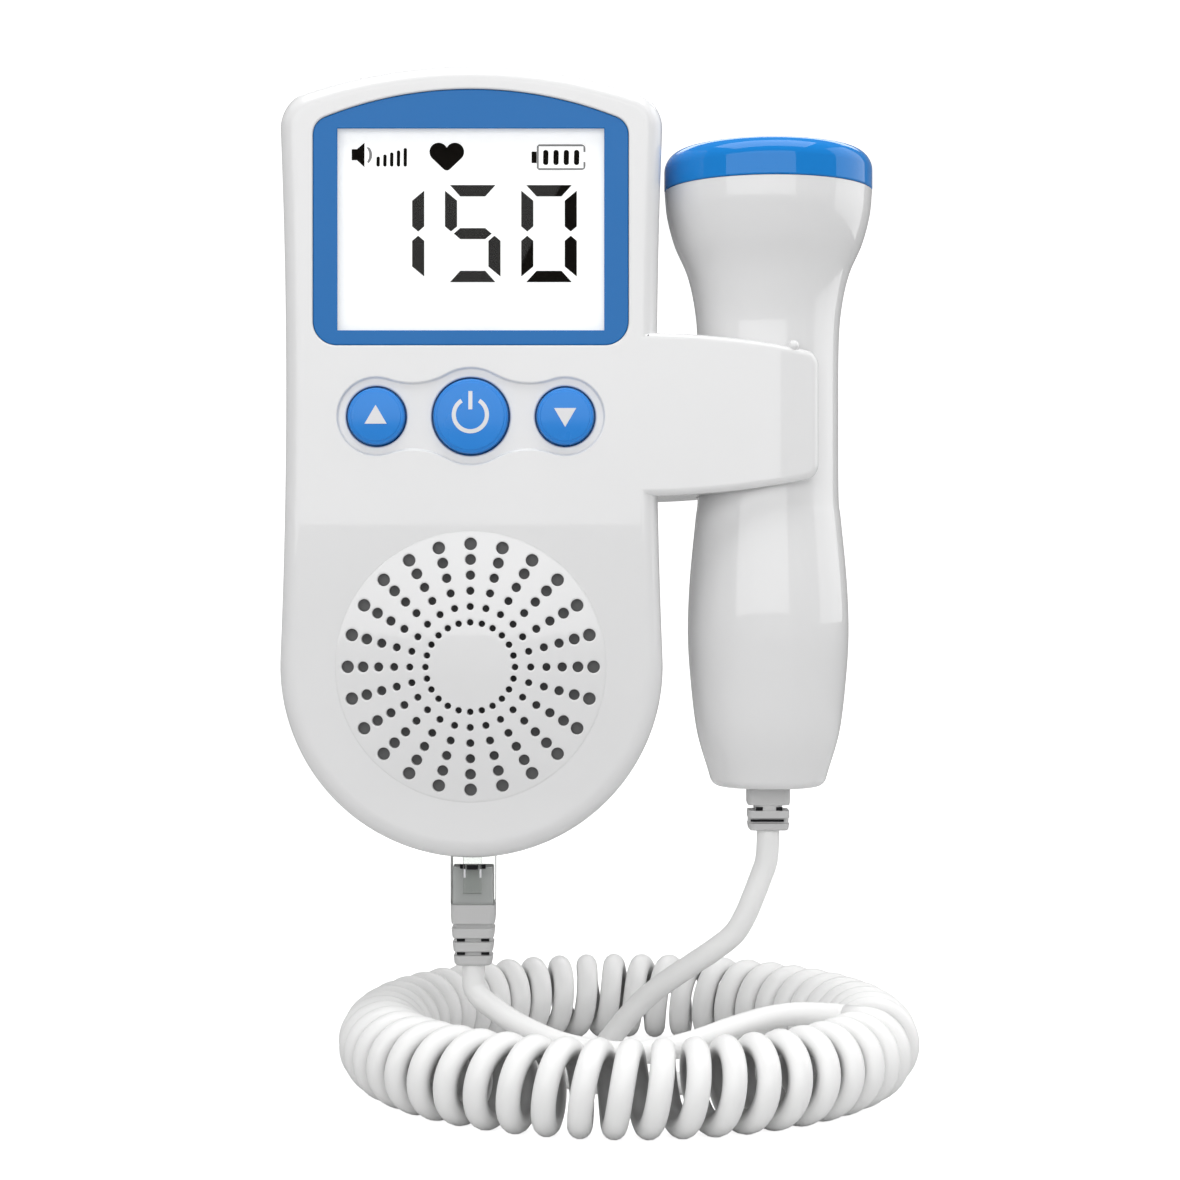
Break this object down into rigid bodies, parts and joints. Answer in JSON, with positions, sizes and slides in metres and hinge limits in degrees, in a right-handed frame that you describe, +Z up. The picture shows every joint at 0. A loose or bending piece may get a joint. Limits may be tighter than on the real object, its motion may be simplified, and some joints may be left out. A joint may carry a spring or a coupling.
{
  "type": "fetal doppler monitor",
  "caption": "Hand-held fetal doppler: white unit with screen, blue keys and loudspeaker grille, probe in a side clip, and a curly cord from its plug to the probe.",
  "frame": {"origin": "middle of the flat back face of the housing, halfway up its height", "axes": "+X to the viewer's right in the front view, towards the probe; +Y from the front face to the back; +Z up, towards the top of the screen"},
  "size_m": [0.1106, 0.102, 0.1764],
  "materials": {
    "shell_white": "glossy",
    "frame_blue": "glossy",
    "key_blue": "glossy",
    "cap_blue": "glossy",
    "clear_window": "clear, glossy",
    "display": "satin, with dark segments",
    "light_guide": "matte",
    "silicone": "matte",
    "switch_black": "matte",
    "board_green": "satin solder mask",
    "cloth_dark": "woven",
    "foam_dark": "matte",
    "speaker_dark": "satin",
    "cell_can": "satin wrap",
    "spring_steel": "plated",
    "socket_dark": "matte",
    "screw_steel": "zinc plated",
    "potting_dark": "matte",
    "crystal": "silvered ceramic",
    "plug_clear": "clear, glossy",
    "contact_gold": "gold flash",
    "boot_grey": "satin",
    "cord_white": "satin"
  },
  "bodies": {
    "main_unit": {"front_cover": "shell_white", "rear_cover": "shell_white", "screen_bezel": "frame_blue", "screen_lens": "clear_window", "lcd_panel": "display", "lcd_backlight": "light_guide", "button_mat": "silicone", "key_switches": "switch_black", "main_board": "board_green", "speaker_grille": "shell_white", "speaker_cloth": "cloth_dark", "speaker_gasket": "foam_dark", "speaker_driver": "speaker_dark", "battery_cells": "cell_can", "battery_contacts": "spring_steel", "cord_socket": "socket_dark", "earphone_jack": "socket_dark", "housing_screws": "screw_steel", "plug_lead": "cord_white", "curly_cord": "cord_white", "probe_lead": "cord_white"},
    "door": {"battery_door": "shell_white"},
    "power_key": {"power_button": "key_blue"},
    "up_key": {"up_button": "key_blue"},
    "down_key": {"down_button": "key_blue"},
    "probe": {"probe_front_shell": "shell_white", "probe_rear_shell": "shell_white", "probe_cap": "cap_blue", "crystal_holder": "potting_dark", "transducer_crystals": "crystal", "probe_board": "board_green", "probe_strain_relief": "boot_grey"},
    "plug": {"plug_body": "plug_clear", "plug_contacts": "contact_gold", "plug_boot": "boot_grey"}
  },
  "joints": [
    {"name": "power_press", "type": "slide", "parent": "main_unit", "child": "power_key", "axis": [0, 1, 0], "range_m": [0, 0.001], "stiffness_N_per_m": 800},
    {"name": "up_press", "type": "slide", "parent": "main_unit", "child": "up_key", "axis": [0, 1, 0], "range_m": [0, 0.001], "stiffness_N_per_m": 800},
    {"name": "down_press", "type": "slide", "parent": "main_unit", "child": "down_key", "axis": [0, 1, 0], "range_m": [0, 0.001], "stiffness_N_per_m": 800},
    {"name": "probe_pull", "type": "slide", "parent": "main_unit", "child": "probe", "axis": [1, 0, 0], "range_m": [0, 0.045], "deforming": ["probe_lead"]},
    {"name": "door_slide", "type": "slide", "parent": "main_unit", "child": "door", "axis": [0, 0, -1], "range_m": [0, 0.006]},
    {"name": "plug_pull", "type": "slide", "parent": "main_unit", "child": "plug", "axis": [0, 0, -1], "range_m": [0, 0.009], "deforming": ["plug_lead"]}
  ]
}
